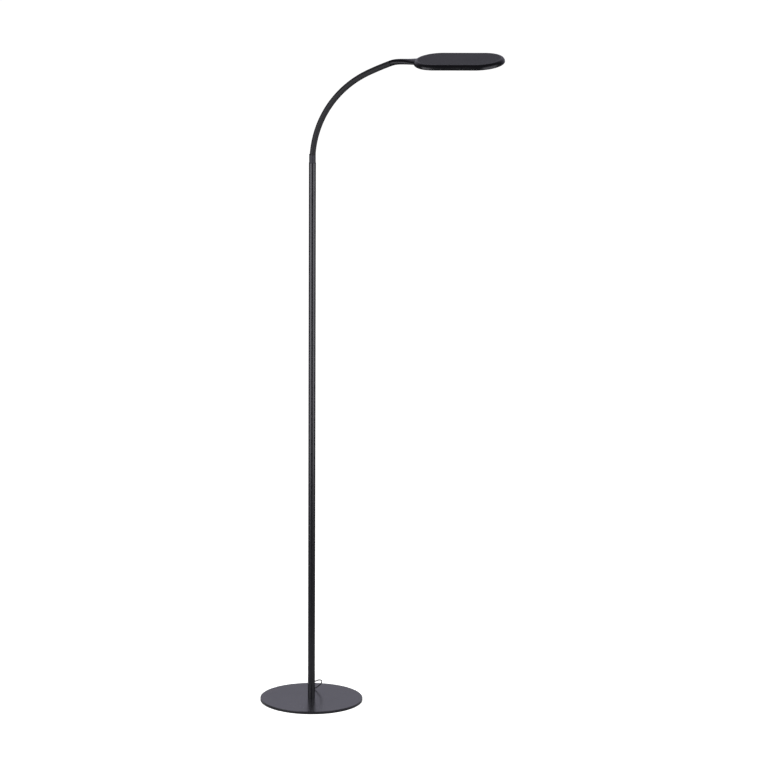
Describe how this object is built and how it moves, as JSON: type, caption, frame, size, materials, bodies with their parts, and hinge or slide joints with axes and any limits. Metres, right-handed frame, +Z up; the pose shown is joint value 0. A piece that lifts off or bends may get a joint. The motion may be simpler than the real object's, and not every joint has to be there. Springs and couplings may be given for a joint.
{
  "type": "gooseneck floor lamp",
  "caption": "Reading floor lamp with a flat round foot, slim sectional pole, bendable gooseneck and a thin oblong light head.",
  "frame": {"origin": "centre of the foot pad's underside, on the floor, on the pole's axis", "axes": "+Z up along the pole, +X from the pole towards the lamp head, +Y to the rear, where the lead leaves the pole"},
  "size_m": [0.5593, 0.3674, 1.5371],
  "materials": {
    "base_coat": "fine satin black powder coat",
    "pole_coat": "smooth satin black coat",
    "collar_coat": "matte black coat",
    "zinc_steel": "bright zinc",
    "foam_pad": "matte foam",
    "neck_steel": "dark steel",
    "neck_cover": "matte black silicone",
    "head_gloss": "gloss black moulding",
    "head_satin": "satin dark grey moulding",
    "diffuser_opal": "opal white",
    "spreader_metal": "rolled",
    "board_white": "white solder mask",
    "board_green": "green solder mask",
    "led_cell": "phosphor",
    "reflector_white": "white moulding",
    "copper_foil": "foil",
    "lead_jacket": "matte black jacket",
    "relief_rubber": "moulded black rubber",
    "tie_cloth": "woven hook and loop",
    "plug_plastic": "moulded black",
    "plug_metal": "nickel plate"
  },
  "bodies": {
    "stand": {"base_pad": "foam_pad", "base_plate": "base_coat", "base_washer": "zinc_steel", "base_bolt": "zinc_steel", "foot_insert": "zinc_steel", "lower_tube": "pole_coat", "lower_socket": "zinc_steel", "middle_stud": "zinc_steel", "middle_tube": "pole_coat", "middle_socket": "zinc_steel", "upper_stud": "zinc_steel", "upper_tube": "pole_coat", "top_insert": "zinc_steel", "neck_ferrule": "collar_coat", "neck_core_00": "neck_steel", "neck_sleeve_00": "neck_cover", "neck_lead": "lead_jacket", "pole_lead": "lead_jacket", "cord_gland": "relief_rubber", "cord_lead": "lead_jacket", "cord_hank": "lead_jacket", "cord_tail": "lead_jacket", "hank_tie": "tie_cloth", "plug_body": "plug_plastic", "plug_barrel": "plug_metal"},
    "neck_link_01": {"neck_core_01": "neck_steel", "neck_sleeve_01": "neck_cover"},
    "neck_link_02": {"neck_core_02": "neck_steel", "neck_sleeve_02": "neck_cover"},
    "neck_link_03": {"neck_core_03": "neck_steel", "neck_sleeve_03": "neck_cover"},
    "neck_link_04": {"neck_core_04": "neck_steel", "neck_sleeve_04": "neck_cover"},
    "neck_link_05": {"neck_core_05": "neck_steel", "neck_sleeve_05": "neck_cover"},
    "neck_link_06": {"neck_core_06": "neck_steel", "neck_sleeve_06": "neck_cover"},
    "neck_link_07": {"neck_core_07": "neck_steel", "neck_sleeve_07": "neck_cover"},
    "neck_link_08": {"neck_core_08": "neck_steel", "neck_sleeve_08": "neck_cover"},
    "neck_link_09": {"neck_core_09": "neck_steel", "neck_sleeve_09": "neck_cover"},
    "neck_link_10": {"neck_core_10": "neck_steel", "neck_sleeve_10": "neck_cover"},
    "lamp_head": {"head_stem": "head_gloss", "stem_screws": "zinc_steel", "head_frame": "head_gloss", "head_top_plate": "head_satin", "heat_spreader": "spreader_metal", "led_board": "board_white", "leds": "led_cell", "touch_pad": "copper_foil", "driver_board": "board_green", "light_box": "reflector_white", "diffuser": "diffuser_opal", "frame_screws": "zinc_steel", "board_screws": "zinc_steel", "head_lead": "lead_jacket"}
  },
  "joints": [
    {"name": "lower_bend", "type": "hinge", "parent": "stand", "child": "neck_link_01", "pos_m": [0.00232, 0, 1.29829], "axis": [0, 1, 0], "range_deg": [-16, 16], "deforming": ["neck_lead"]},
    {"name": "lower_sway", "type": "hinge", "parent": "neck_link_01", "child": "neck_link_02", "pos_m": [0.00793, 0, 1.32673], "axis": [-0.9682, 0, 0.2503], "range_deg": [-16, 16], "deforming": ["neck_lead"]},
    {"name": "lower_bend_2", "type": "hinge", "parent": "neck_link_02", "child": "neck_link_03", "pos_m": [0.0168, 0, 1.35432], "axis": [0, 1, 0], "range_deg": [-16, 16], "deforming": ["neck_lead"]},
    {"name": "lower_sway_2", "type": "hinge", "parent": "neck_link_03", "child": "neck_link_04", "pos_m": [0.02883, 0, 1.38069], "axis": [-0.8842, 0, 0.467], "range_deg": [-16, 16], "deforming": ["neck_lead"]},
    {"name": "lower_bend_3", "type": "hinge", "parent": "neck_link_04", "child": "neck_link_05", "pos_m": [0.04383, 0, 1.40549], "axis": [0, 1, 0], "range_deg": [-16, 16], "deforming": ["neck_lead"]},
    {"name": "upper_sway", "type": "hinge", "parent": "neck_link_05", "child": "neck_link_06", "pos_m": [0.06162, 0, 1.42838], "axis": [-0.7525, 0, 0.6585], "range_deg": [-16, 16], "deforming": ["neck_lead"]},
    {"name": "upper_bend", "type": "hinge", "parent": "neck_link_06", "child": "neck_link_07", "pos_m": [0.08194, 0, 1.44904], "axis": [0, 1, 0], "range_deg": [-16, 16], "deforming": ["neck_lead"]},
    {"name": "upper_sway_2", "type": "hinge", "parent": "neck_link_07", "child": "neck_link_08", "pos_m": [0.10453, 0, 1.4672], "axis": [-0.5802, 0, 0.8145], "range_deg": [-16, 16], "deforming": ["neck_lead"]},
    {"name": "upper_bend_2", "type": "hinge", "parent": "neck_link_08", "child": "neck_link_09", "pos_m": [0.12907, 0, 1.48262], "axis": [0, 1, 0], "range_deg": [-16, 16], "deforming": ["neck_lead"]},
    {"name": "upper_sway_3", "type": "hinge", "parent": "neck_link_09", "child": "neck_link_10", "pos_m": [0.15477, 0, 1.49605], "axis": [-0.4449, 0, 0.8956], "range_deg": [-16, 16], "deforming": ["neck_lead"]},
    {"name": "head_twist", "type": "hinge", "parent": "neck_link_10", "child": "lamp_head", "pos_m": [0.18009, 0, 1.50801], "axis": [0.9126, 0, 0.4088], "range_deg": [-40, 40]}
  ],
  "couplings": [
    {"joint": "lower_bend_2", "follows": "lower_bend", "ratio": 1},
    {"joint": "lower_sway_2", "follows": "lower_sway", "ratio": 1},
    {"joint": "lower_bend_3", "follows": "lower_bend", "ratio": 1},
    {"joint": "upper_sway_2", "follows": "upper_sway", "ratio": 1},
    {"joint": "upper_bend_2", "follows": "upper_bend", "ratio": 1},
    {"joint": "upper_sway_3", "follows": "upper_sway", "ratio": 1}
  ]
}
